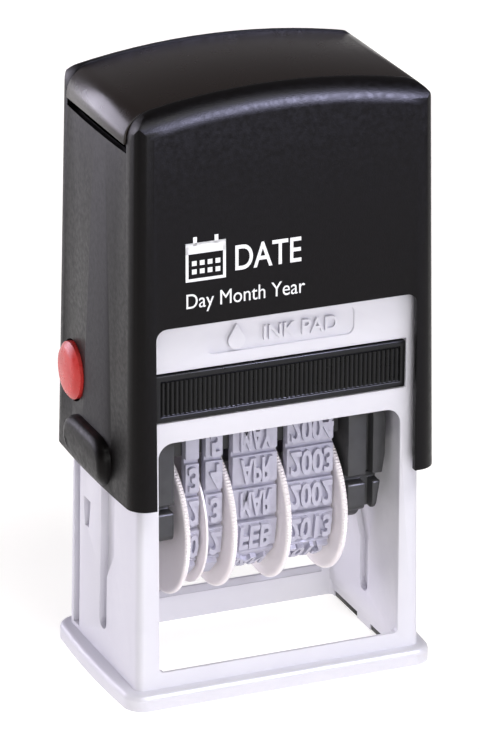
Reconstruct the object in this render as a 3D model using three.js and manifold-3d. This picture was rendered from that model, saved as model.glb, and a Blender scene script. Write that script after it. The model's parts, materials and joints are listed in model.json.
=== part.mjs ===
// Self-inking rotary date stamp, in millimetres: +X right, +Y back, +Z up, origin at the middle of the foot.
// The black cover slides down over the white frame, and the date unit that hangs in the cover's yoke turns
// over on the way, from the ink pad above it to the paper below.
import * as THREE from "three";
import { mergeVertices } from "three/addons/utils/BufferGeometryUtils.js";
import Module from "manifold-3d";

const wasm = await Module();
wasm.setup();

// ---- Driving dimensions ----
const GAP = 0.3; // between pieces that touch
const OVERCUT = 2; // how far a cutting solid runs past the face that it cuts

const PRESS = { travel: 26, faceAbovePivot: 9.85 };
const PIVOT_Z = PRESS.travel + PRESS.faceAbovePivot + GAP; // the date unit's turning axis, cover up
const TYPE_Z = PIVOT_Z + PRESS.faceAbovePivot; // top of the raised type, cover up

const FOOT = { halfX: 25.8, halfY: 16.3, corner: 3.2, bow: 0.5, top: 2.6, edge: 0.9 };
const FOOT_HOLE = { halfX: 20.9, halfY: 13.3, corner: 0.8 };
const GRIP_SLOT = { depth: 1.1, high: 1.05, front: [-11.6, -1.7], back: [3.3, 12.2] };
const TOWER = { halfX: 22.7, halfY: 13.6, corner: 1.2, top: 62, draft: 0.014, refZ: 60 };
const TOWER_IN = { halfX: 20.4, halfY: 13.1 };
const OPENING = { halfX: 19.8, low: 5.1, high: 42.4, topCorner: 2.4, lowCorner: 0.8, innerLow: 4.25 };
const SHELF = { low: 44, high: 45.7, halfX: 16.6, halfY: 10.2 }; // floor under the pad tray
const TRAY_SLOT = { halfX: 20.6, bodyHalfX: 18.7, low: 45.7, high: 53.7 };
const WELL = { halfX: 21.4, halfY: 12.4, floor: 54.9 };
const LABEL = { halfX: 12.0, low: 55.6, high: 60.2, corner: 1.2, depth: 0.4 };
const RAIL_GROOVE = { y: 11.2, width: 2.4, depth: 1.0, low: 3.3 };

const COVER = {
  halfX: 24.9, halfY: 16.3, corner: 3, bow: 0.35, low: 33, top: 96.6, draft: 0.0175, refZ: 60, wall: 1,
};
const ARCH = { radius: 110, corner: 4.5, frontFillet: 4 };
const CUT_OUT = { halfX: 21.1, high: 61.7, corner: 1.7 };
const DECK = { low: 88.3, high: 89.4, halfX: 22.9, halfY: 12 };
const WINDOW = { halfX: 24.4, halfY: 11.7, low: 89.6, top: 96.35, wall: 1.3 };
const CARD = { halfX: 22.3, halfY: 11.2, thick: 0.3 };
const BULGE = { halfY: 8.1, flatHalfY: 3.4, widest: 37.8, high: 41.2, out: 1.7, lowOut: 0.3, round: 1.5 };
const BUTTON = { y: 8, z: 47.2, radius: 4.5, hole: 4.85, inner: 24.6, outer: 26.4 };
const PEG = { y: 7.1, z: 50.3, radius: 0.8, inner: 23.5 }; // behind each button
const CATCH = { low: 21.4, high: 26, lowHalfY: 0.8, highHalfY: 1.5, floorX: 21.9 };

const YOKE = { armIn: 19.4, armOut: 20.1, armHalfY: 4, bridgeLow: 86.9, bridgeHigh: 88, bridgeHalfY: 6.5 };
const POST = { radius: 3.4, low: 82 };
const TRUNNION = { radius: 2, hole: 2.35, end: 20 };
const SPRING = { radius: 5, wire: 0.45, turns: 5 };

const TRAY = {
  low: 46.3, high: 53.45, halfX: 18.4, back: 13.6, bezelLow: 45.95, bezelHalfX: 20.3, bezelBack: -12.9,
  front: -14.1,
};
const PAD = { halfX: 16.4, halfY: 10.4, low: 46.3, high: 49.9 };

const AXLE = { z: 24.5, radius: 1.5, hole: 1.8, left: -18.3, right: 17.4 };
const WHEEL = { radius: 12.1, thick: 1, drum: 6.7 };
const DISC = { radius: 10.8, thick: 0.4, x: -10.55 };
const BAND = { thick: 2.4, lowRadius: 9.4, topRadius: 5.5, topHalfY: 4, topZ: TYPE_Z - 5.5 };
const BANDS = [
  { name: "day_tens", left: -13.3, right: -11.05, wheelX: -14.1 },
  { name: "day_units", left: -10.05, right: -7.2, wheelX: -6.4 },
  { name: "month", left: -5.6, right: 1.75, wheelX: 2.55 },
  { name: "year", left: 3.35, right: 11.05, wheelX: 11.85 },
];
const CHEEK = {
  leftOut: -19.1, leftIn: -15.7, rightIn: 13, rightOut: 19.1, halfY: 10, top: 43, split: 30.4,
};
const LEAN = { lowX: 17.7, low: 24.5, high: 33.6 }; // the right cheek's outer face below
const FLUTE = { left: 15.9, right: 17.1, depth: 2 }; // along the right cheek's front and back edges
const HOLDER = { low: 24.5, high: 29.2, innerHigh: 30.1, shoulder: 8, lobe: 4.6, corner: 1.2 };
const RAIL = { inner: 9.8, outer: 10.7, low: 41, high: 42.8 };

// ---- Finishes ----
const finish = (color, roughness, metalness = 0) =>
  new THREE.MeshStandardMaterial({ color, roughness, metalness });
const MATERIALS = {
  white: finish(0xeceaf2, 0.35),
  black: finish(0x242122, 0.45),
  carriage: finish(0x2a2829, 0.4),
  smoke: finish(0x4a403b, 0.1),
  card: finish(0x1c1b1b, 0.8),
  red: finish(0xcf3a36, 0.3),
  rubber: finish(0xa9a9c0, 0.7),
  wheel: finish(0xf0e6e2, 0.3),
  pad: finish(0x2b2f45, 0.95),
  steel: finish(0xb9bcc0, 0.25, 1),
};

// ---- Solids: closed meshes in manifold-3d ----
function solid(geometry) {
  const bare = geometry.clone();
  bare.deleteAttribute("normal");
  bare.deleteAttribute("uv");
  const merged = mergeVertices(bare, 1e-4);
  return new wasm.Manifold(
    new wasm.Mesh({
      numProp: 3,
      vertProperties: merged.attributes.position.array,
      triVerts: new Uint32Array(merged.index.array),
    }),
  );
}

function geometryOf(body) {
  const data = body.getMesh();
  const geometry = new THREE.BufferGeometry();
  geometry.setAttribute("position", new THREE.BufferAttribute(data.vertProperties, 3));
  geometry.setIndex(new THREE.BufferAttribute(data.triVerts, 1));
  return geometry;
}

const join = (...bodies) => bodies.reduce((a, b) => a.add(b));
const cut = (body, ...cutters) => cutters.reduce((a, b) => a.subtract(b), body);

function extrude(shape, depth, curveSegments, extra = {}) {
  return new THREE.ExtrudeGeometry(shape, { depth, curveSegments, bevelEnabled: false, ...extra });
}

// A shape drawn in X and Y, standing from low to high.
function alongZ(shape, low, high, curveSegments = 6) {
  return solid(extrude(shape, high - low, curveSegments).translate(0, 0, low));
}

// A shape drawn in X and Z, running from front to back.
function alongY(shape, front, back, curveSegments = 6) {
  return solid(extrude(shape, back - front, curveSegments).rotateX(Math.PI / 2).translate(0, back, 0));
}

// A shape drawn in Y and Z, running from left to right.
const TO_X = new THREE.Matrix4().set(0, 0, 1, 0, 1, 0, 0, 0, 0, 1, 0, 0, 0, 0, 0, 1);
function alongX(shape, left, right, curveSegments = 6, extra = {}) {
  const geometry = extrude(shape, right - left, curveSegments, extra).applyMatrix4(TO_X);
  return solid(geometry.translate(left, 0, 0));
}

function box(x0, x1, y0, y1, z0, z1) {
  const geometry = new THREE.BoxGeometry(x1 - x0, y1 - y0, z1 - z0);
  return solid(geometry.translate((x0 + x1) / 2, (y0 + y1) / 2, (z0 + z1) / 2));
}

function mirroredBoxes(x0, x1, y0, y1, z0, z1) {
  return join(box(x0, x1, y0, y1, z0, z1), box(-x1, -x0, y0, y1, z0, z1));
}

// A round bar along X.
function barX(radius, left, right, y, z, sides = 32) {
  const geometry = new THREE.CylinderGeometry(radius, radius, right - left, sides);
  return solid(geometry.rotateZ(-Math.PI / 2).translate((left + right) / 2, y, z));
}

// Widens or narrows a standing body with height, as the draft of a moulding does.
function drafted(body, halfX, halfY, rate, refZ) {
  return body.warp((v) => {
    const change = rate * (refZ - v[2]);
    v[0] *= 1 + change / halfX;
    v[1] *= 1 + change / halfY;
  });
}

// ---- Outlines ----
// A rectangle with round corners whose left and right sides bow outwards.
function bowedRectangle(halfX, halfY, corner, bow = 0) {
  const shape = new THREE.Shape();
  const x = halfX - bow;
  shape.moveTo(-x + corner, -halfY);
  shape.lineTo(x - corner, -halfY);
  shape.absarc(x - corner, -halfY + corner, corner, -Math.PI / 2, 0, false);
  if (bow > 0) shape.quadraticCurveTo(halfX + bow, 0, x, halfY - corner);
  shape.absarc(x - corner, halfY - corner, corner, 0, Math.PI / 2, false);
  shape.lineTo(-x + corner, halfY);
  shape.absarc(-x + corner, halfY - corner, corner, Math.PI / 2, Math.PI, false);
  if (bow > 0) shape.quadraticCurveTo(-halfX - bow, 0, -x, -halfY + corner);
  shape.absarc(-x + corner, -halfY + corner, corner, Math.PI, 1.5 * Math.PI, false);
  return shape;
}

// An upright window outline with its own radius for the two upper and the two lower corners.
function windowOutline(halfX, low, high, topCorner, lowCorner) {
  const shape = new THREE.Shape();
  shape.moveTo(-halfX + lowCorner, low);
  shape.lineTo(halfX - lowCorner, low);
  if (lowCorner > 0) shape.absarc(halfX - lowCorner, low + lowCorner, lowCorner, -Math.PI / 2, 0, false);
  shape.absarc(halfX - topCorner, high - topCorner, topCorner, 0, Math.PI / 2, false);
  shape.absarc(-halfX + topCorner, high - topCorner, topCorner, Math.PI / 2, Math.PI, false);
  if (lowCorner > 0) {
    shape.absarc(-halfX + lowCorner, low + lowCorner, lowCorner, Math.PI, 1.5 * Math.PI, false);
  }
  return shape;
}

// The arched front view of the top: upright sides, round shoulders and one shallow arc.
function archOutline(halfX, low, top, shoulder, archRadius) {
  const archZ = top - archRadius;
  const x = halfX - shoulder;
  const z = archZ + Math.sqrt((archRadius - shoulder) ** 2 - x ** 2);
  const lean = Math.atan2(x, z - archZ);
  const shape = new THREE.Shape();
  shape.moveTo(halfX, low);
  shape.lineTo(halfX, z);
  shape.absarc(x, z, shoulder, 0, Math.PI / 2 - lean, false);
  shape.absarc(0, archZ, archRadius, Math.PI / 2 - lean, Math.PI / 2 + lean, false);
  shape.absarc(-x, z, shoulder, Math.PI / 2 + lean, Math.PI, false);
  shape.lineTo(-halfX, low);
  return shape;
}

// The belt round a set of discs {y, z, r}, each made larger by grow: in every direction the furthest
// disc gives the point.
function beltOutline(discs, grow, steps) {
  const points = [];
  for (let i = 0; i < steps; i++) {
    const angle = ((i + 0.5) / steps) * 2 * Math.PI;
    const ny = Math.cos(angle);
    const nz = Math.sin(angle);
    const reach = (disc) => disc.y * ny + disc.z * nz + disc.r;
    const far = discs.reduce((a, b) => (reach(b) > reach(a) ? b : a));
    points.push(new THREE.Vector2(far.y + (far.r + grow) * ny, far.z + (far.r + grow) * nz));
  }
  return points;
}

// ---- White frame ----
// The track that guides the date unit: a narrow slot below that widens towards the front above.
function camTrack(slotHalf, frontReach, backReach, slotLow, shoulderLow, shoulderHigh, high) {
  const shape = new THREE.Shape();
  shape.moveTo(-slotHalf, shoulderLow);
  shape.lineTo(-slotHalf, slotLow + slotHalf);
  shape.absarc(0, slotLow + slotHalf, slotHalf, Math.PI, 2 * Math.PI, false);
  shape.lineTo(slotHalf, shoulderLow);
  shape.lineTo(backReach, shoulderHigh);
  shape.lineTo(backReach, high);
  shape.lineTo(-frontReach, high);
  shape.lineTo(-frontReach, shoulderHigh);
  return shape;
}

function footRing() {
  const { halfX, halfY, corner, bow, top, edge } = FOOT;
  const plate = alongZ(bowedRectangle(halfX, halfY, corner, bow), 0, top - edge, 5);
  const bevel = { bevelEnabled: true, bevelThickness: edge, bevelSize: edge, bevelSegments: 3 };
  const inset = bowedRectangle(halfX - edge, halfY - edge, corner - edge, bow);
  const rounded = solid(extrude(inset, 0.4, 5, bevel).translate(0, 0, top - edge - 0.4));
  return join(plate, cut(rounded, box(-40, 40, -40, 40, -OVERCUT, top - edge - 0.1)));
}

function towerOuter() {
  const { halfX, halfY, corner, top, draft, refZ } = TOWER;
  const prism = alongZ(bowedRectangle(halfX, halfY, corner), FOOT.top - 1, top, 4);
  return drafted(prism, halfX, halfY, draft, refZ);
}

function openingCutter() {
  const { halfX, low, high, topCorner, lowCorner, innerLow } = OPENING;
  const through = alongY(windowOutline(halfX, low, high, topCorner, lowCorner), -30, 30);
  const sill = new THREE.Shape();
  sill.moveTo(-TOWER.halfY - OVERCUT, low + 1);
  sill.lineTo(-TOWER.halfY - 0.2, low);
  sill.lineTo(-FOOT_HOLE.halfY, innerLow);
  sill.lineTo(FOOT_HOLE.halfY, innerLow);
  sill.lineTo(TOWER.halfY + 0.2, low);
  sill.lineTo(TOWER.halfY + OVERCUT, low + 1);
  return join(through, alongX(sill, -halfX + lowCorner, halfX - lowCorner));
}

// A catch in each side for the lock buttons' pegs, wider at its top.
function pegCatches(rise) {
  const { low, high, lowHalfY, highHalfY, floorX } = CATCH;
  const shape = new THREE.Shape();
  shape.moveTo(PEG.y - lowHalfY, low + rise);
  shape.lineTo(PEG.y + lowHalfY, low + rise);
  shape.lineTo(PEG.y + highHalfY, high + rise);
  shape.lineTo(PEG.y - highHalfY, high + rise);
  return join(alongX(shape, -30, -floorX), alongX(shape, floorX, 30));
}

function lowerFrame() {
  const { bodyHalfX, low, high } = TRAY_SLOT;
  const hollow = box(-TOWER_IN.halfX, TOWER_IN.halfX, -TOWER_IN.halfY, TOWER_IN.halfY, -OVERCUT, SHELF.low);
  const footHole = alongZ(
    bowedRectangle(FOOT_HOLE.halfX, FOOT_HOLE.halfY, FOOT_HOLE.corner), -OVERCUT, FOOT.top + 0.2, 3,
  );
  const slotX = FOOT_HOLE.halfX + GRIP_SLOT.depth;
  const gripSlots = join(
    ...[GRIP_SLOT.front, GRIP_SLOT.back].map(([y0, y1]) => {
      return mirroredBoxes(FOOT_HOLE.halfX - 1, slotX, y0, y1, -OVERCUT, GRIP_SLOT.high);
    }),
  );
  const shelfWindow = box(
    -SHELF.halfX, SHELF.halfX, -SHELF.halfY, SHELF.halfY, SHELF.low - 1, SHELF.high + 1,
  );
  const trayChannel = box(-bodyHalfX, bodyHalfX, -TRAY_SLOT.halfX, 30, low, high);
  const bezelSlot = box(-TRAY_SLOT.halfX, TRAY_SLOT.halfX, -30, TRAY.bezelBack + GAP, low, high);
  const well = box(-WELL.halfX, WELL.halfX, -WELL.halfY, WELL.halfY, WELL.floor, TOWER.top + OVERCUT);
  const slotHalfY = YOKE.armHalfY + GAP;
  const armSlots = mirroredBoxes(
    bodyHalfX - 0.1, TOWER_IN.halfX, -slotHalfY, slotHalfY, SHELF.low - 1, WELL.floor + 1,
  );
  const catches = join(pegCatches(0), pegCatches(PRESS.travel));
  const labelOutline = windowOutline(LABEL.halfX, LABEL.low, LABEL.high, LABEL.corner, LABEL.corner);
  const label = alongY(labelOutline, -30, -TOWER.halfY + LABEL.depth, 3);
  const { y, width, depth } = RAIL_GROOVE;
  const grooves = mirroredBoxes(
    TOWER.halfX - depth, 30, y - width / 2, y + width / 2, RAIL_GROOVE.low, TOWER.top + OVERCUT,
  );
  const outerTrack = camTrack(1.5, 4.4, 1.2, 7.2, 16.5, 21, 34);
  const innerTrack = camTrack(1.5, 3.9, 4.6, 6.2, 15, 20.5, 34);
  const tracks = join(
    alongX(outerTrack, -30, -TOWER.halfX + 0.7, 8),
    alongX(outerTrack, TOWER.halfX - 0.7, 30, 8),
    alongX(innerTrack, -TOWER_IN.halfX - 0.9, 0, 8),
    alongX(innerTrack, 0, TOWER_IN.halfX + 0.9, 8),
  );
  return cut(
    join(footRing(), towerOuter()),
    hollow, footHole, gripSlots, openingCutter(), shelfWindow, trayChannel, bezelSlot, well, armSlots,
    catches, label, grooves, tracks,
  );
}

// ---- Ink pad and its tray ----
function padTray() {
  const { low, high, halfX, back, bezelLow, bezelHalfX, bezelBack, front } = TRAY;
  const body = box(-halfX, halfX, bezelBack - 0.2, back, low, high);
  const bezel = box(-bezelHalfX, bezelHalfX, front, bezelBack, bezelLow, high);
  const pocket = box(
    -PAD.halfX - GAP, PAD.halfX + GAP, -PAD.halfY - GAP, PAD.halfY + GAP, low - OVERCUT, PAD.high + GAP,
  );
  const ribField = box(
    -bezelHalfX + 0.8, bezelHalfX - 0.8, front - 1, front + 0.35, bezelLow + 0.9, high - 0.9,
  );
  return cut(join(body, bezel), pocket, ribField);
}

function inkPad() {
  return box(-PAD.halfX, PAD.halfX, -PAD.halfY, PAD.halfY, PAD.low, PAD.high);
}

// ---- Black cover ----
function coverPrism(inset, low, high) {
  const { halfX, halfY, corner, bow, draft, refZ } = COVER;
  const outline = bowedRectangle(halfX - inset, halfY - inset, corner - inset, bow);
  return drafted(alongZ(outline, low, high, 6), halfX, halfY, draft, refZ);
}

// The arched roof with its round front and back edges, bent over the arch's radius.
function roofSweep() {
  const { halfX, halfY, draft, refZ, top } = COVER;
  const profile = windowOutline(halfY + 0.05, 0, top, ARCH.frontFillet, 0);
  const bar = alongX(profile, -halfX - 1, halfX + 1, 6, { steps: 16 });
  const bent = bar.warp((v) => {
    if (v[2] > 1) v[2] -= ARCH.radius - Math.sqrt(ARCH.radius ** 2 - v[0] ** 2);
  });
  return drafted(bent, Infinity, halfY, draft, refZ);
}

// The rounded boss low on each side of the cover, which runs out into the wall at its foot.
function sideBulge(side) {
  const { halfY, flatHalfY, widest, high, out, lowOut, round } = BULGE;
  const low = COVER.low + round;
  const y = halfY - round;
  const z = high - round;
  const shape = new THREE.Shape();
  shape.moveTo(-flatHalfY, low);
  shape.lineTo(flatHalfY, low);
  shape.quadraticCurveTo(y, low, y, widest);
  shape.quadraticCurveTo(y, z, flatHalfY, z);
  shape.lineTo(-flatHalfY, z);
  shape.quadraticCurveTo(-y, z, -y, widest);
  shape.quadraticCurveTo(-y, low, -flatHalfY, low);
  const wallX = COVER.halfX - 0.6;
  const depth = out + 0.6 + COVER.draft * (COVER.refZ - COVER.low) - round;
  const bevel = { bevelEnabled: true, bevelThickness: round, bevelSize: round, bevelSegments: 4 };
  const geometry = extrude(shape, depth, 8, bevel).applyMatrix4(TO_X).translate(wallX, 0, 0);
  const boss = solid(geometry).warp((v) => {
    const below = Math.max(0, (widest - v[2]) / (widest - COVER.low));
    v[0] -= (out - lowOut) * below ** 2 * Math.max(0, (v[0] - wallX) / (depth + round));
    v[0] *= side;
    v[1] *= side;
  });
  return cut(boss, box(-wallX, wallX, -40, 40, 0, 60));
}

// What is cut off the cover's shoulders, outside the arch.
function outsideArch() {
  const { halfX, halfY, bow, low, top, draft, refZ } = COVER;
  const arch = archOutline(halfX - bow, low - OVERCUT, top + 0.05, ARCH.corner, ARCH.radius);
  const shoulderZ = top - ARCH.radius + Math.sqrt(
    (ARCH.radius - ARCH.corner) ** 2 - (halfX - bow - ARCH.corner) ** 2,
  );
  const block = box(-40, 40, -25, 25, shoulderZ, top + 5);
  return drafted(cut(block, alongY(arch, -30, 30, 8)), halfX, halfY, draft, refZ);
}

function outerCover() {
  const shell = coverPrism(0, COVER.low, COVER.top + 1)
    .intersect(roofSweep())
    .subtract(outsideArch());
  const cavity = coverPrism(COVER.wall, COVER.low - OVERCUT, DECK.low);
  const channel = box(-40, 40, -DECK.halfY, DECK.halfY, DECK.high, COVER.top + OVERCUT);
  const sideSlots = mirroredBoxes(DECK.halfX, 40, -DECK.halfY, DECK.halfY, DECK.low, COVER.top);
  const cutOut = windowOutline(CUT_OUT.halfX, COVER.low - OVERCUT, CUT_OUT.high, CUT_OUT.corner, 0);
  const cutOuts = alongY(cutOut, -30, 30, 4);
  const holes = barX(BUTTON.hole, -30, 30, BUTTON.y, BUTTON.z);
  const body = join(shell, sideBulge(1), sideBulge(-1));
  return cut(body, cavity, channel, sideSlots, cutOuts, holes);
}

function indexWindow() {
  const { halfX, halfY, low, top, wall } = WINDOW;
  const outer = archOutline(halfX, low, top, ARCH.corner, ARCH.radius);
  const inner = archOutline(halfX - wall, low - 1, top - wall, ARCH.corner - wall, ARCH.radius - wall);
  return cut(alongY(outer, -halfY, halfY, 12), alongY(inner, -halfY - 1, halfY + 1, 12));
}

function indexCard() {
  const { halfX, halfY, thick } = CARD;
  return box(-halfX, halfX, -halfY, halfY, DECK.high + GAP, DECK.high + GAP + thick);
}

function yoke() {
  const { armIn, armOut, armHalfY, bridgeLow, bridgeHigh, bridgeHalfY } = YOKE;
  const arm = new THREE.Shape();
  arm.moveTo(armHalfY, bridgeHigh);
  arm.lineTo(-armHalfY, bridgeHigh);
  arm.lineTo(-armHalfY, PIVOT_Z);
  arm.absarc(0, PIVOT_Z, armHalfY, Math.PI, 2 * Math.PI, false);
  const arms = join(alongX(arm, armIn, armOut, 10), alongX(arm, -armOut, -armIn, 10));
  const bridge = box(-armOut, armOut, -bridgeHalfY, bridgeHalfY, bridgeLow, bridgeHigh);
  const post = new THREE.CylinderGeometry(POST.radius, POST.radius, bridgeLow - POST.low + 0.5, 20);
  post.rotateX(Math.PI / 2).translate(0, 0, (bridgeLow + POST.low + 0.5) / 2);
  return cut(join(arms, bridge, solid(post)), barX(TRUNNION.hole, -30, 30, 0, PIVOT_Z));
}

// ---- Return spring: a closed-end coil between the frame's well and the yoke's bridge ----
class Coil extends THREE.Curve {
  constructor(radius, low, high, turns) {
    super();
    Object.assign(this, { radius, low, high, turns });
  }

  getPoint(t, target = new THREE.Vector3()) {
    const angle = t * this.turns * 2 * Math.PI;
    const z = this.low + (this.high - this.low) * t;
    return target.set(this.radius * Math.cos(angle), this.radius * Math.sin(angle), z);
  }
}

function returnSpring() {
  const { radius, wire, turns } = SPRING;
  const low = WELL.floor + GAP + wire;
  const high = YOKE.bridgeLow - GAP - wire;
  const section = new THREE.Shape().absarc(0, 0, wire, 0, 2 * Math.PI, false);
  const options = { extrudePath: new Coil(radius, low, high, turns), steps: turns * 14 };
  return solid(extrude(section, 1, 3, options));
}

// A domed cap, turned about the line across the stamp, with a peg behind it.
function lockButton(side) {
  const { y, z, radius, inner, outer } = BUTTON;
  const profile = [
    new THREE.Vector2(0, inner),
    new THREE.Vector2(radius, inner),
    new THREE.Vector2(radius, outer - 0.9),
    new THREE.Vector2(radius - 0.7, outer - 0.35),
    new THREE.Vector2(radius - 1.6, outer - 0.1),
    new THREE.Vector2(0, outer),
  ];
  const cap = new THREE.LatheGeometry(profile, 32).rotateZ((-side * Math.PI) / 2).translate(0, y, z);
  const ends = [side * PEG.inner, side * (inner + 0.5)];
  const peg = barX(PEG.radius, Math.min(...ends), Math.max(...ends), PEG.y, PEG.z, 16);
  return join(solid(cap), peg);
}

// ---- Date unit ----
const BAND_DISCS = [
  { y: -BAND.topHalfY, z: BAND.topZ, r: BAND.topRadius },
  { y: BAND.topHalfY, z: BAND.topZ, r: BAND.topRadius },
  { y: 0, z: AXLE.z, r: BAND.lowRadius },
];

function dateBand({ left, right }) {
  const shape = new THREE.Shape(beltOutline(BAND_DISCS, 0, 44));
  shape.holes.push(new THREE.Path(beltOutline(BAND_DISCS, -BAND.thick, 44)));
  return alongX(shape, left, right);
}

// A round of the given (radius, x) profile that turns on the axle.
function turnedOnAxle(profile, sides) {
  const points = profile.map(([radius, x]) => new THREE.Vector2(radius, x));
  return solid(new THREE.LatheGeometry(points, sides).rotateZ(-Math.PI / 2).translate(0, 0, AXLE.z));
}

// A thumb wheel: a thin disc, and beside it the drum that carries the band.
function thumbWheel({ left, right, wheelX }) {
  const { radius, thick, drum } = WHEEL;
  const onRight = wheelX > right;
  const drumEnd = onRight ? left : right;
  const near = onRight ? wheelX - thick / 2 : wheelX + thick / 2;
  const far = onRight ? wheelX + thick / 2 : wheelX - thick / 2;
  const outwards = [
    [AXLE.hole, drumEnd],
    [drum, drumEnd],
    [drum, near],
    [radius, near],
    [radius, far],
    [AXLE.hole, far],
    [AXLE.hole, drumEnd],
  ];
  return turnedOnAxle(onRight ? outwards : outwards.reverse(), 48);
}

function spacerDisc() {
  const { radius, thick, x } = DISC;
  const left = x - thick / 2;
  const right = x + thick / 2;
  const profile = [
    [AXLE.hole, left],
    [radius, left],
    [radius, right],
    [AXLE.hole, right],
    [AXLE.hole, left],
  ];
  return turnedOnAxle(profile, 48);
}

// The block that the bands run over at the printing end.
function bandBridge() {
  const low = AXLE.z + WHEEL.radius + GAP;
  const inside = new THREE.Shape(beltOutline(BAND_DISCS, -BAND.thick - GAP, 44));
  const block = alongX(inside, CHEEK.leftIn + GAP, CHEEK.rightIn - GAP);
  return cut(block, box(-40, 40, -40, 40, 0, low));
}

function cheekOutline(low, high, topCorner, lowCorner) {
  return windowOutline(CHEEK.halfY, low, high, topCorner, lowCorner);
}

// Keeps what lies inside the right cheek's leaning outer face.
function leaned(body) {
  const lean = new THREE.Shape();
  lean.moveTo(-30, 0);
  lean.lineTo(LEAN.lowX, 0);
  lean.lineTo(LEAN.lowX, LEAN.low);
  lean.lineTo(CHEEK.rightOut, LEAN.high);
  lean.lineTo(CHEEK.rightOut, CHEEK.top + OVERCUT);
  lean.lineTo(-30, CHEEK.top + OVERCUT);
  return body.intersect(alongY(lean, -30, 30));
}

function flutes() {
  const y = CHEEK.halfY - FLUTE.depth;
  return join(
    box(FLUTE.left, FLUTE.right, -30, -y, 0, RAIL.low - 0.5),
    box(FLUTE.left, FLUTE.right, y, 30, 0, RAIL.low - 0.5),
  );
}

function turningFrame() {
  const { leftOut, leftIn, rightIn, rightOut, top, split } = CHEEK;
  const outline = cheekOutline(split, top, 3.6, 0.4);
  const left = alongX(outline, leftOut, leftIn);
  const right = cut(leaned(alongX(outline, rightIn, rightOut)), flutes());
  const rails = [-1, 1].map((side) => {
    const y0 = side > 0 ? RAIL.inner : -RAIL.outer;
    return box(leftOut, rightOut, y0, y0 + RAIL.outer - RAIL.inner, RAIL.low, RAIL.high);
  });
  const corners = join(
    box(leftOut, leftIn, -RAIL.outer, RAIL.outer, RAIL.low, RAIL.high),
    box(rightIn, rightOut, -RAIL.outer, RAIL.outer, RAIL.low, RAIL.high),
  );
  const { radius, end } = TRUNNION;
  const pins = join(
    barX(radius, -end, leftOut + 1, 0, PIVOT_Z, 24),
    barX(radius, rightOut - 1, end, 0, PIVOT_Z, 24),
  );
  return join(left, right, ...rails, corners, pins);
}

function axleHolder(outX, inX) {
  const { low, high, innerHigh, shoulder, lobe, corner } = HOLDER;
  const left = Math.min(outX, inX);
  const right = Math.max(outX, inX);
  const plate = alongX(cheekOutline(low, high, 0.4, corner), left, right);
  const tongue = box(left, right, -shoulder, shoulder, high - 1, innerHigh);
  const boss = barX(lobe, left, right, 0, AXLE.z);
  return cut(join(plate, tongue, boss), barX(AXLE.hole, -40, 40, 0, AXLE.z));
}

function rightAxleHolder() {
  return cut(leaned(axleHolder(CHEEK.rightOut, CHEEK.rightIn)), flutes());
}

function wheelAxle() {
  return barX(AXLE.radius, AXLE.left, AXLE.right, 0, AXLE.z, 20);
}

// ---- Assembly ----
const dateStamp = new THREE.Group();

function place(parent, name, body, material) {
  const mesh = new THREE.Mesh(geometryOf(body), material);
  mesh.name = name;
  parent.add(mesh);
}

place(dateStamp, "lower_frame", lowerFrame(), MATERIALS.white);

const padDrawer = new THREE.Group();
place(padDrawer, "ink_pad_tray", padTray(), MATERIALS.black);
place(padDrawer, "ink_pad", inkPad(), MATERIALS.pad);
dateStamp.add(padDrawer);

const cover = new THREE.Group();
place(cover, "outer_cover", outerCover(), MATERIALS.black);
place(cover, "pivot_yoke", yoke(), MATERIALS.black);
place(cover, "index_card", indexCard(), MATERIALS.card);
place(cover, "index_window", indexWindow(), MATERIALS.smoke);
place(cover, "lock_button_left", lockButton(-1), MATERIALS.red);
place(cover, "lock_button_right", lockButton(1), MATERIALS.red);
place(cover, "return_spring", returnSpring(), MATERIALS.steel);
dateStamp.add(cover);

const dateUnit = new THREE.Group();
place(dateUnit, "turning_frame", turningFrame(), MATERIALS.carriage);
place(dateUnit, "axle_holder_left", axleHolder(CHEEK.leftOut, CHEEK.leftIn), MATERIALS.carriage);
place(dateUnit, "axle_holder_right", rightAxleHolder(), MATERIALS.carriage);
place(dateUnit, "wheel_axle", wheelAxle(), MATERIALS.steel);
place(dateUnit, "band_bridge", bandBridge(), MATERIALS.carriage);
place(dateUnit, "spacer_disc", spacerDisc(), MATERIALS.wheel);
for (const band of BANDS) {
  place(dateUnit, `${band.name}_wheel`, thumbWheel(band), MATERIALS.wheel);
  place(dateUnit, `${band.name}_band`, dateBand(band), MATERIALS.rubber);
}
cover.add(dateUnit);

export default dateStamp;
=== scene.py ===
import json
import math

import bmesh
import bpy
from mathutils import Matrix, Vector


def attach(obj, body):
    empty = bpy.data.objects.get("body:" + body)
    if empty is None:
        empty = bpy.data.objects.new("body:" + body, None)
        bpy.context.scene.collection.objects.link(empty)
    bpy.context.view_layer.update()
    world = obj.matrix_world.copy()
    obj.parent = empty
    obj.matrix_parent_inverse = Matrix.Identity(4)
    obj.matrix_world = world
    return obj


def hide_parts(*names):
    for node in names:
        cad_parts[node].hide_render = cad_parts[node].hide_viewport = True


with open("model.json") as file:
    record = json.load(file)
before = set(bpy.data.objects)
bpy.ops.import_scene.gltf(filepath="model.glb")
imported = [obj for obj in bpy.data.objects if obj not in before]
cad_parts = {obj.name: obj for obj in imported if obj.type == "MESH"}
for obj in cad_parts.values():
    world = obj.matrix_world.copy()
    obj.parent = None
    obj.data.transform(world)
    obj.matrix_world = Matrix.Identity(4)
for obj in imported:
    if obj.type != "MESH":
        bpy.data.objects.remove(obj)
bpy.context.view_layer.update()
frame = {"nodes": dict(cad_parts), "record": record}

MM = 0.001
SHARP_ANGLE = 32.0  # an edge that turns by more, in degrees, is shaded sharp and bevelled

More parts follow.
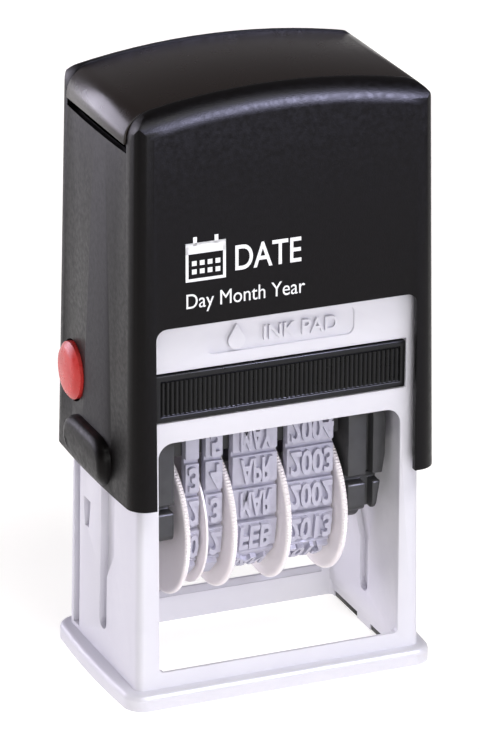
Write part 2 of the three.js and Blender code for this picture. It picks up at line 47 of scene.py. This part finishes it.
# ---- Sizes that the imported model's pieces share, in millimetres ----
AXLE_Z = 24.5
WHEEL = {"radius": 12.05, "thick": 1.0, "drum": 6.7, "bore": 1.8}
TEETH = {"count": 144, "depth": 0.24}
BANDS = {
    "day_tens": {"left": -13.3, "right": -11.05, "wheel_x": -14.1},
    "day_units": {"left": -10.05, "right": -7.2, "wheel_x": -6.4},
    "month": {"left": -5.6, "right": 1.75, "wheel_x": 2.55},
    "year": {"left": 3.35, "right": 11.05, "wheel_x": 11.85},
}
BELT_DISCS = ((-4.0, 40.5, 5.5), (4.0, 40.5, 5.5), (0.0, AXLE_Z, 9.4))  # y, z, radius
BELT = {"inner": -2.4, "surface": -1.5, "plate": -0.8, "type_top": -0.03}
TYPE = {"pitch": 5.62, "plate_length": 4.75, "height": 4.15, "first_z": 28.3}
COVER = {"half_x": 24.9, "half_y": 16.3, "draft": 0.0175, "ref_z": 60.0}
TRAY_RIBS = {"half_x": 19.45, "low": 47.1, "high": 52.3, "back_y": -13.8, "front_y": -14.08, "count": 52}
LABEL = {"floor_y": -13.2, "z": 57.9, "gap": 0.2, "depth": 0.42}  # gap: clear of the recess floor
# Dark strips painted in as shade in the notches low in the foot's sides, in millimetres.
FOOT_SHADE_STRIPS = {
    "inner_x": 21.05, "outer_x": 21.9, "low": 0.02, "high": 0.98,
    "spans_y": ((-11.5, -1.8), (3.4, 12.1)),
}
PLATE_ROOT = 0.2  # how far a type plate reaches into the smooth loop
PRINT_DEPTH = 0.03

# What each band carries, upwards from the row that faces front, and downwards from the row below it.
ROWS_UP = {
    "day_tens": ["2", "3", "", "", "", "", "", "", ""],
    "day_units": ["3", "4", "5", "6", "7", "8", "9", "", ""],
    "month": ["MAR", "APR", "MAY", "JUN", "JUL", "AUG", "SEP", "OCT", "NOV"],
    "year": ["2002", "2003", "2004", "2005", "2006", "2007", "2008", "2009", ""],
}
ROWS_DOWN = {
    "day_tens": ["0", "1"],
    "day_units": ["2", "1", "0"],
    "month": ["FEB", "JAN", "DEC"],
    "year": ["2013", "2012", "2011", "2010"],
}


# ---- Materials ----
class Shader:
    """A material's node tree with a Principled shader, and the few steps that all finishes share."""

    def __init__(self, name, color, roughness, **sockets):
        self.material = bpy.data.materials.new(name)
        self.material.use_nodes = True
        self.nodes = self.material.node_tree.nodes
        self.links = self.material.node_tree.links
        self.principled = self.nodes["Principled BSDF"]
        self.coordinates = self.nodes.new("ShaderNodeTexCoord").outputs["Object"]
        self.set("Base Color", (*color, 1.0))
        self.set("Roughness", roughness)
        for socket, value in sockets.items():
            self.set(socket.replace("_", " "), value)
        self.color = color
        self.roughness = roughness

    def set(self, socket, value):
        self.principled.inputs[socket].default_value = value

    def noise(self, size_mm, detail=2.0):
        """Noise whose lumps are about size_mm across."""
        texture = self.nodes.new("ShaderNodeTexNoise")
        texture.inputs["Scale"].default_value = 1.0 / (size_mm * MM)
        texture.inputs["Detail"].default_value = detail
        self.links.new(self.coordinates, texture.inputs["Vector"])
        return texture.outputs["Fac"]

    def ranged(self, value, low, high):
        node = self.nodes.new("ShaderNodeMapRange")
        node.inputs["From Min"].default_value = 0.3
        node.inputs["From Max"].default_value = 0.7
        node.inputs["To Min"].default_value = low
        node.inputs["To Max"].default_value = high
        self.links.new(value, node.inputs["Value"])
        return node.outputs["Result"]

    def vary_roughness(self, size_mm, spread):
        value = self.ranged(self.noise(size_mm, 3.0), self.roughness - spread, self.roughness + spread)
        self.links.new(value, self.principled.inputs["Roughness"])

    def vary_color(self, size_mm, other, detail=3.0):
        mix = self.nodes.new("ShaderNodeMix")
        mix.data_type = "RGBA"
        mix.inputs[6].default_value = (*self.color, 1.0)
        mix.inputs[7].default_value = (*other, 1.0)
        self.links.new(self.ranged(self.noise(size_mm, detail), 0.0, 1.0), mix.inputs[0])
        self.links.new(mix.outputs[2], self.principled.inputs["Base Color"])

    def bump(self, size_mm, height_mm, strength=1.0, detail=2.0):
        node = self.nodes.new("ShaderNodeBump")
        node.inputs["Strength"].default_value = strength
        node.inputs["Distance"].default_value = height_mm * MM
        self.links.new(self.noise(size_mm, detail), node.inputs["Height"])
        self.links.new(node.outputs["Normal"], self.principled.inputs["Normal"])


def satin_white():
    shader = Shader("white_plastic", (0.66, 0.65, 0.70), 0.36, IOR=1.5)
    shader.vary_color(9.0, (0.64, 0.63, 0.685))
    shader.vary_roughness(1.5, 0.05)
    shader.bump(0.9, 0.012, 0.5)
    return shader.material


def textured_black():
    shader = Shader("black_textured", (0.0014, 0.0009, 0.0009), 0.38, Specular_IOR_Level=0.11)
    shader.vary_color(0.5, (0.0026, 0.0018, 0.0018))
    shader.vary_roughness(0.8, 0.07)
    shader.bump(0.22, 0.028, 0.7)
    return shader.material


def gloss_black(name="black_gloss", roughness=0.2, specular=0.35):
    shader = Shader(name, (0.005, 0.005, 0.005), roughness, Specular_IOR_Level=specular)
    shader.vary_roughness(1.2, 0.06)
    shader.bump(1.0, 0.008, 0.4)
    return shader.material


def satin_dark():
    shader = Shader("unit_dark", (0.038, 0.038, 0.039), 0.42, Specular_IOR_Level=0.3)
    shader.vary_color(2.0, (0.048, 0.048, 0.049))
    shader.vary_roughness(1.0, 0.08)
    shader.bump(0.35, 0.02, 0.6)
    return shader.material


def band_rubber():
    shader = Shader("band_rubber", (0.46, 0.45, 0.535), 0.5, Specular_IOR_Level=0.4)
    shader.vary_color(1.6, (0.41, 0.40, 0.48))
    shader.vary_roughness(0.7, 0.1)
    shader.bump(0.3, 0.02, 0.6)
    return shader.material


def milky_wheel():
    shader = Shader("wheel_plastic", (0.86, 0.81, 0.82), 0.36)
    shader.vary_color(5.0, (0.84, 0.785, 0.795))
    shader.vary_roughness(1.1, 0.05)
    return shader.material


def red_plastic():
    shader = Shader("red_plastic", (0.60, 0.045, 0.04), 0.3, Specular_IOR_Level=0.3)
    shader.vary_color(3.0, (0.52, 0.035, 0.032))
    shader.vary_roughness(0.9, 0.06)
    shader.bump(0.5, 0.01, 0.5)
    return shader.material


def smoked_window():
    shader = Shader(
        "smoked_window", (0.016, 0.009, 0.006), 0.26,
        Transmission_Weight=0.4, IOR=1.49, Specular_IOR_Level=0.3,
    )
    shader.vary_roughness(3.0, 0.02)
    shader.bump(6.0, 0.01, 0.2)
    return shader.material


def pad_felt():
    shader = Shader("pad_felt", (0.012, 0.014, 0.04), 0.9, Sheen_Weight=0.3)
    shader.vary_color(0.4, (0.02, 0.025, 0.07))
    shader.bump(0.25, 0.12, 1.0, 4.0)
    return shader.material


def dark_card():
    shader = Shader("card_dark", (0.02, 0.018, 0.017), 0.75)
    shader.vary_color(0.3, (0.028, 0.025, 0.024))
    shader.bump(0.15, 0.02, 0.5, 4.0)
    return shader.material


def drawn_steel():
    shader = Shader("spring_steel", (0.56, 0.57, 0.59), 0.25, Metallic=1.0)
    shader.vary_roughness(0.3, 0.08)
    shader.bump(0.15, 0.004, 0.5)
    return shader.material


def print_ink():
    shader = Shader("white_print", (0.86, 0.86, 0.88), 0.5)
    shader.vary_color(0.8, (0.78, 0.78, 0.80))
    shader.bump(0.3, 0.006, 0.4)
    return shader.material


def floor_material():
    shader = Shader(
        "light_table", (0.60, 0.58, 0.55), 0.6, Specular_IOR_Level=0.2,
        Emission_Color=(1.0, 0.995, 0.985, 1.0), Emission_Strength=0.70,
    )
    shader.vary_color(30.0, (0.59, 0.57, 0.54))
    return shader.material


MATERIALS = {
    "white_plastic": satin_white(),
    "black_textured": textured_black(),
    "black_gloss": gloss_black(),
    "tray_black": gloss_black("tray_black", 0.32, 0.2),
    "pad_felt": pad_felt(),
    "card_dark": dark_card(),
    "smoked_window": smoked_window(),
    "red_plastic": red_plastic(),
    "spring_steel": drawn_steel(),
    "unit_dark": satin_dark(),
    "wheel_plastic": milky_wheel(),
    "band_rubber": band_rubber(),
}
BODY_OF = {node: body for body, nodes in frame["record"]["behaviour"]["bodies"].items() for node in nodes}
SLOT_OF = {entry["node"]: entry["material_slot"] for entry in frame["record"]["subparts"]}


# ---- Making pieces ----
def add_piece(name, mesh, body, slot, material=None, nodes=(), sharp=SHARP_ANGLE):
    mesh.shade_smooth()
    mesh.set_sharp_from_angle(angle=math.radians(sharp))
    mesh.materials.clear()
    mesh.materials.append(material or MATERIALS[slot])
    piece = bpy.data.objects.new(name, mesh)
    bpy.context.scene.collection.objects.link(piece)
    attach(piece, body)
    if nodes:
        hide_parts(*nodes)
    return piece


def mesh_of(bm, name):
    bmesh.ops.recalc_face_normals(bm, faces=bm.faces)
    mesh = bpy.data.meshes.new(name)
    bm.to_mesh(mesh)
    bm.free()
    return mesh


def bevel_sharp(bm, width):
    limit = math.radians(SHARP_ANGLE)
    edges = [e for e in bm.edges if len(e.link_faces) == 2 and e.calc_face_angle(0.0) > limit]
    bmesh.ops.bevel(
        bm, geom=edges, offset=width * MM, segments=2, profile=0.5,
        affect="EDGES", clamp_overlap=True,
    )


def softened(node, bevel):
    """The CAD node's own shape with its edges broken, standing in for the node."""
    bm = bmesh.new()
    bm.from_mesh(frame["nodes"][node].data)
    bmesh.ops.remove_doubles(bm, verts=bm.verts, dist=2e-6)
    bmesh.ops.dissolve_limit(bm, angle_limit=math.radians(0.4), verts=bm.verts, edges=bm.edges)
    if bevel:
        bevel_sharp(bm, bevel)
    name = f"{node}_skin"
    add_piece(name, mesh_of(bm, name), BODY_OF[node], SLOT_OF[node], nodes=(node,))


def add_box(bm, low, high):
    """A box between two corners, in millimetres."""
    size = [(h - l) * MM for l, h in zip(low, high)]
    middle = [(h + l) / 2 * MM for l, h in zip(low, high)]
    matrix = Matrix.Translation(middle) @ Matrix.Diagonal((*size, 1.0))
    return bmesh.ops.create_cube(bm, size=1.0, matrix=matrix)["verts"]


def loft(bm, rings, closed=True):
    """Joins rings of points, in metres, into a tube; closed joins the last ring to the first."""
    rows = [[bm.verts.new(point) for point in ring] for ring in rings]
    pairs = list(zip(rows, rows[1:])) + ([(rows[-1], rows[0])] if closed else [])
    for row, after in pairs:
        for i in range(len(row)):
            j = (i + 1) % len(row)
            bm.faces.new((row[i], row[j], after[j], after[i]))
    if not closed:
        bm.faces.new(list(reversed(rows[0])))
        bm.faces.new(rows[-1])


# ---- Thumb wheels ----
def wheel_profile(left, right, wheel_x):
    """The wheel's section as (radius, x, share of the teeth's depth), round from the bore."""
    on_right = wheel_x > right
    side = 1 if on_right else -1
    drum_end = left if on_right else right
    near = wheel_x - side * WHEEL["thick"] / 2
    far = wheel_x + side * WHEEL["thick"] / 2
    outer = WHEEL["radius"]
    return [
        (WHEEL["bore"], drum_end, 0.0),
        (WHEEL["drum"] - 0.25, drum_end, 0.0),
        (WHEEL["drum"], drum_end + 0.25 * side, 0.0),
        (WHEEL["drum"], near - 0.1 * side, 0.0),
        (WHEEL["drum"] + 0.1, near, 0.0),
        (outer - 1.6, near, 0.0),
        (outer - 0.75, near, 0.0),
        (outer - 0.4, near + 0.04 * side, 0.3),
        (outer - 0.12, near + 0.18 * side, 0.8),
        (outer, near + 0.4 * side, 1.0),
        (outer, far - 0.35 * side, 1.0),
        (outer - 0.12, far - 0.15 * side, 0.8),
        (outer - 0.4, far - 0.03 * side, 0.3),
        (outer - 0.75, far, 0.0),
        (WHEEL["bore"], far, 0.0),
    ]


def thumb_wheel(name, band):
    profile = wheel_profile(**band)
    steps = TEETH["count"] * 4
    rings = []
    for step in range(steps):
        angle = 2 * math.pi * step / steps
        dip = TEETH["depth"] * (0.0, 0.5, 1.0, 0.5)[step % 4]
        ring = []
        for radius, x, share in profile:
            r = radius - dip * share
            ring.append(Vector((x, r * math.cos(angle), AXLE_Z + r * math.sin(angle))) * MM)
        rings.append(ring)
    bm = bmesh.new()
    loft(bm, rings)
    node = f"{name}_wheel"
    mesh = mesh_of(bm, node)
    add_piece(f"{name}_wheel_toothed", mesh, BODY_OF[node], "wheel_plastic", nodes=(node,), sharp=60)


# ---- Bands ----
def belt_point(angle, grow):
    """The belt's outline point and outward direction, in y and z, for a direction given as an angle."""
    out = Vector((math.cos(angle), math.sin(angle)))
    y, z, radius = max(BELT_DISCS, key=lambda disc: disc[0] * out.x + disc[1] * out.y + disc[2])
    return Vector((y, z)) + out * (radius + grow), out


class BeltPath:
    """Points along the belt by their distance, upwards from the row that faces front."""

    def __init__(self, grow, steps=720):
        self.samples = [belt_point(math.pi * (1.5 - 2 * i / steps), grow) for i in range(steps + 1)]
        self.lengths = [0.0]
        for (a, _), (b, _) in zip(self.samples, self.samples[1:]):
            self.lengths.append(self.lengths[-1] + (b - a).length)
        self.total = self.lengths[-1]
        self.start = self.length_at_front(TYPE["first_z"])

    def length_at_front(self, z):
        """The distance at which the rising front run passes a height."""
        pairs = zip(self.samples, self.samples[1:], self.lengths)
        (a, _), (b, _), length = next(p for p in pairs if p[0][0].x < 0 and p[0][0].y <= z < p[1][0].y)
        return length + (b - a).length * (z - a.y) / (b.y - a.y)

    def at(self, distance):
        distance = (self.start + distance) % self.total
        i = next(k for k, length in enumerate(self.lengths[1:], 1) if length >= distance)
        span = self.lengths[i] - self.lengths[i - 1]
        t = (distance - self.lengths[i - 1]) / span if span else 0.0
        (a, n), (b, m) = self.samples[i - 1], self.samples[i]
        return a.lerp(b, t), n.lerp(m, t).normalized()


def add_belt(bm, left, right):
    """The smooth rubber loop under the type."""
    steps = 160
    rings = []
    for i in range(steps):
        angle = 2 * math.pi * i / steps
        outer, _ = belt_point(angle, BELT["surface"])
        inner, _ = belt_point(angle, BELT["inner"])
        section = ((left, outer), (right, outer), (right, inner), (left, inner))
        rings.append([Vector((x, p.x, p.y)) * MM for x, p in section])
    loft(bm, rings)


def face_frame(path, distance):
    """The matrix of a type face, mirrored as type is: x to the right, y down at the front, z outwards."""
    point, out = path.at(distance)
    matrix = Matrix.Identity(4)
    matrix.col[0] = (1.0, 0.0, 0.0, 0.0)
    matrix.col[1] = (0.0, -out.y, out.x, 0.0)
    matrix.col[2] = (0.0, out.x, out.y, 0.0)
    matrix.col[3] = (0.0, point.x * MM, point.y * MM, 1.0)
    return matrix


def add_plate(bm, matrix, left, right):
    half = TYPE["plate_length"] / 2
    low = BELT["surface"] - BELT["plate"] - PLATE_ROOT
    part = bmesh.new()
    add_box(part, (left, -half, low), (right, half, 0.0))
    bevel_sharp(part, 0.12)
    part.transform(matrix)
    append(bm, part)


def append(bm, part):
    mesh = bpy.data.meshes.new("part")
    part.to_mesh(mesh)
    part.free()
    bm.from_mesh(mesh)
    bpy.data.meshes.remove(mesh)


def text_mesh(text, height, width, depth, weight=0.0, resolution=3):
    """Text as a centred mesh in millimetres, height and width over all of it, its face at z = depth."""
    curve = bpy.data.curves.new("text", "FONT")
    curve.body = text
    curve.size = 1.0
    curve.extrude = 0.5
    curve.offset = weight
    curve.resolution_u = resolution
    holder = bpy.data.objects.new("text", curve)
    bpy.context.scene.collection.objects.link(holder)
    graph = bpy.context.evaluated_depsgraph_get()
    mesh = bpy.data.meshes.new_from_object(holder.evaluated_get(graph))
    bpy.data.objects.remove(holder)
    bpy.data.curves.remove(curve)
    xs = [v.co.x for v in mesh.vertices]
    ys = [v.co.y for v in mesh.vertices]
    scale_x = width / (max(xs) - min(xs))
    scale_y = height / (max(ys) - min(ys))
    middle = Vector(((max(xs) + min(xs)) / 2, (max(ys) + min(ys)) / 2, 0.0))
    for vertex in mesh.vertices:
        moved = vertex.co - middle
        vertex.co = (moved.x * scale_x, moved.y * scale_y, (moved.z + 0.5) * depth)
    return mesh


def add_text(bm, mesh, matrix):
    part = bmesh.new()
    part.from_mesh(mesh)
    bmesh.ops.scale(part, vec=(MM, MM, MM), verts=part.verts)
    part.transform(matrix)
    append(bm, part)
    bpy.data.meshes.remove(mesh)


def date_band(name, band):
    left, right = band["left"], band["right"]
    path = BeltPath(BELT["plate"])
    rows = round(path.total / TYPE["pitch"])
    up, down = ROWS_UP[name], ROWS_DOWN[name]
    words = {row: word for row, word in enumerate(up)} | {-1 - row: word for row, word in enumerate(down)}
    bm = bmesh.new()
    add_belt(bm, left, right)
    for row in range(rows - len(up), -len(up), -1):
        matrix = face_frame(path, row * path.total / rows)
        add_plate(bm, matrix, left + 0.02, right - 0.02)
        word = words.get(row, "")
        if word:
            reach = min(right - left - 0.6, 1.75 * len(word))
            letters = text_mesh(word, TYPE["height"], reach, BELT["type_top"] - BELT["plate"], 0.03)
            middle = Matrix.Translation(((left + right) / 2 * MM, 0.0, 0.0))
            add_text(bm, letters, matrix @ middle)
    node = f"{name}_band"
    add_piece(f"{name}_type_band", mesh_of(bm, node), BODY_OF[node], "band_rubber", nodes=(node,))


# ---- Ink pad tray ----
def tray_ribs():
    """The upright finger ribs on the tray's front."""
    half_x, count = TRAY_RIBS["half_x"], TRAY_RIBS["count"]
    pitch = 2 * half_x / count
    outline = []
    for i in range(count):
        x = -half_x + i * pitch
        depth = TRAY_RIBS["front_y"] - TRAY_RIBS["back_y"]
        for share, out in ((0.0, 0.0), (0.2, 0.62), (0.38, 0.95), (0.5, 1.0), (0.62, 0.95), (0.8, 0.62)):
            outline.append((x + share * pitch, TRAY_RIBS["back_y"] + depth * out))
    outline.append((half_x, TRAY_RIBS["back_y"]))
    outline.append((half_x, TRAY_RIBS["back_y"] + 0.15))
    outline.append((-half_x, TRAY_RIBS["back_y"] + 0.15))
    rings = [[Vector((x, y, z)) * MM for x, y in outline] for z in (TRAY_RIBS["low"], TRAY_RIBS["high"])]
    bm = bmesh.new()
    loft(bm, rings, closed=False)
    add_piece("tray_finger_ribs", mesh_of(bm, "tray_finger_ribs"), "pad_drawer", "tray_black")


# ---- Painted shade in the foot's notches ----
def foot_shade_strips():
    """Dark strips painted in as shade, showing through the slots low in the foot's sides."""
    bm = bmesh.new()
    low, high = FOOT_SHADE_STRIPS["low"], FOOT_SHADE_STRIPS["high"]
    for side in (-1, 1):
        x0, x1 = sorted((side * FOOT_SHADE_STRIPS["inner_x"], side * FOOT_SHADE_STRIPS["outer_x"]))
        for y0, y1 in FOOT_SHADE_STRIPS["spans_y"]:
            add_box(bm, (x0, y0, low), (x1, y1, high))
    bevel_sharp(bm, 0.1)
    add_piece("foot_shade_strips", mesh_of(bm, "foot_shade_strips"), "frame", "tray_black")


# ---- Marks ----
def front_matrix(x, z, lift=0.0):
    """A place on the cover's drafted front face: x to the right, y up, z outwards."""
    tilt = math.atan(COVER["draft"])
    y = -(COVER["half_y"] + COVER["draft"] * (COVER["ref_z"] - z)) - lift
    return Matrix.Translation(Vector((x, y, z)) * MM) @ Matrix.Rotation(math.pi / 2 - tilt, 4, "X")


def framed_rectangle(bm, x0, x1, y0, y1, line, depth):
    for low, high in (
        ((x0, y0, 0), (x1, y0 + line, depth)),
        ((x0, y1 - line, 0), (x1, y1, depth)),
        ((x0, y0 + line, 0), (x0 + line, y1 - line, depth)),
        ((x1 - line, y0 + line, 0), (x1, y1 - line, depth)),
    ):
        add_box(bm, low, high)


def cover_print():
    """A plain calendar sign and words, printed on the cover."""
    depth = PRINT_DEPTH
    bm = bmesh.new()
    sign = bmesh.new()
    framed_rectangle(sign, -3.2, 3.2, -3.0, 3.0, 0.45, depth)
    add_box(sign, (-3.2, 1.3, 0), (3.2, 3.0, depth))
    for x in (-1.7, 1.7):
        add_box(sign, (x - 0.3, 2.4, 0), (x + 0.3, 3.9, depth))
    for row in range(2):
        for column in range(4):
            x, y = -2.2 + column * 1.25, -0.55 - row * 1.3
            add_box(sign, (x, y, 0), (x + 0.75, y + 0.75, depth))
    sign.transform(front_matrix(-13.2, 71.6))
    append(bm, sign)
    add_text(bm, text_mesh("DATE", 3.9, 10.6, depth, 0.01, 6), front_matrix(-3.2, 71.4))
    add_text(bm, text_mesh("Day Month Year", 3.0, 19.0, depth, 0.0, 6), front_matrix(-6.8, 65.2))
    add_piece("cover_print", mesh_of(bm, "cover_print"), "cover", "white_plastic", print_ink())


def label_emboss():
    """Raised plain words in the frame's label recess."""
    bm = bmesh.new()
    turn = Matrix.Rotation(math.pi / 2, 4, "X")
    middle = Vector((0.0, LABEL["floor_y"] - LABEL["gap"], LABEL["z"])) * MM
    place = Matrix.Translation(middle) @ turn
    words = text_mesh("INK PAD", 2.3, 12.0, LABEL["depth"], 0.01, 5)
    add_text(bm, words, place @ Matrix.Translation((0.0032, 0, 0)))
    drop = drop_mesh(1.35, LABEL["depth"])
    drop.transform(place @ Matrix.Translation((-0.0072, -0.0002, 0)))
    append(bm, drop)
    add_piece("label_emboss", mesh_of(bm, "label_emboss"), "frame", "white_plastic")


def drop_mesh(radius, depth):
    """A flat ink drop."""
    outline = [(radius * math.cos(a), radius * math.sin(a) - 0.3 * radius)
               for a in (math.radians(d) for d in range(-215, 36, 10))]
    outline.append((0.0, radius * 1.7))
    bm = bmesh.new()
    rings = [[Vector((x, y, z)) * MM for x, y in outline] for z in (0.0, depth)]
    loft(bm, rings, closed=False)
    return bm


# ---- Stage ----
CAMERA = {
    "place": (-276.04, -651.83, 328.70),
    "azimuth": -22.884,
    "elevation": 21.799,
    "roll": 0.368,
    "lens": 375.8,
}


def camera():
    a, e, r = (math.radians(CAMERA[key]) for key in ("azimuth", "elevation", "roll"))
    back = Vector((math.sin(a) * math.cos(e), -math.cos(a) * math.cos(e), math.sin(e)))
    right = Vector((math.cos(a), math.sin(a), 0.0))
    up = back.cross(right)
    turned_right = right * math.cos(r) + up * math.sin(r)
    turned_up = up * math.cos(r) - right * math.sin(r)
    matrix = Matrix((turned_right, turned_up, back)).transposed().to_4x4()
    matrix.translation = Vector(CAMERA["place"]) * MM
    data = bpy.data.cameras.new("camera")
    data.sensor_fit = "HORIZONTAL"
    data.sensor_width = 36.0
    data.lens = CAMERA["lens"]
    data.clip_start = 0.05
    data.clip_end = 20.0
    holder = bpy.data.objects.new("camera", data)
    holder.matrix_world = matrix
    bpy.context.scene.collection.objects.link(holder)
    bpy.context.scene.camera = holder


def floor():
    bm = bmesh.new()
    bmesh.ops.create_grid(bm, x_segments=8, y_segments=8, size=3.0)
    mesh = mesh_of(bm, "floor")
    mesh.materials.append(floor_material())
    plane = bpy.data.objects.new("floor", mesh)
    bpy.context.scene.collection.objects.link(plane)


def area_light(name, place, target, size, power, color=(1.0, 1.0, 1.0), diffuse=True):
    """A rectangular light; with diffuse off it only makes highlights."""
    data = bpy.data.lights.new(name, "AREA")
    data.shape = "RECTANGLE"
    data.size, data.size_y = size
    data.energy = power
    data.color = color
    holder = bpy.data.objects.new(name, data)
    holder.location = place
    holder.visible_diffuse = diffuse
    holder.rotation_euler = (Vector(target) - Vector(place)).to_track_quat("-Z", "Y").to_euler()
    bpy.context.scene.collection.objects.link(holder)


def lights():
    world = bpy.data.worlds.new("studio")
    world.use_nodes = True
    world.node_tree.nodes["Background"].inputs["Color"].default_value = (0.97, 0.93, 0.97, 1.0)
    world.node_tree.nodes["Background"].inputs["Strength"].default_value = 0.22
    bpy.context.scene.world = world
    area_light("key", (0.15, -0.45, 0.9), (0, 0, 0.05), (0.45, 0.35), 4.5)
    area_light("front_fill", (-0.1, -1.0, 0.35), (0, 0, 0.04), (0.5, 0.5), 4.4)
    area_light("back_left", (-0.55, 0.75, 0.25), (0, 0, 0.06), (0.6, 0.5), 6.5, (0.88, 0.84, 1.0))
    area_light("top_shine", (0.45, -0.8, 0.65), (0, 0, 0.09), (0.5, 0.3), 60.0, (0.70, 0.70, 1.0), False)
    bpy.context.scene.view_settings.view_transform = "Standard"


# ---- Building ----
SOFTENED = {
    "lower_frame": 0.22,
    "ink_pad_tray": 0.15,
    "ink_pad": 0.3,
    "outer_cover": 0.14,
    "pivot_yoke": 0.2,
    "index_card": 0.05,
    "index_window": 0.12,
    "lock_button_left": 0.0,
    "lock_button_right": 0.0,
    "return_spring": 0.0,
    "turning_frame": 0.18,
    "axle_holder_left": 0.18,
    "axle_holder_right": 0.18,
    "wheel_axle": 0.15,
    "band_bridge": 0.15,
    "spacer_disc": 0.1,
}
for node_name, bevel_width in SOFTENED.items():
    softened(node_name, bevel_width)
for band_name, band_sizes in BANDS.items():
    thumb_wheel(band_name, band_sizes)
    date_band(band_name, band_sizes)
tray_ribs()
# Dark strips painted in as shade in the foot's notches.
foot_shade_strips()
cover_print()
label_emboss()
camera()
floor()
lights()
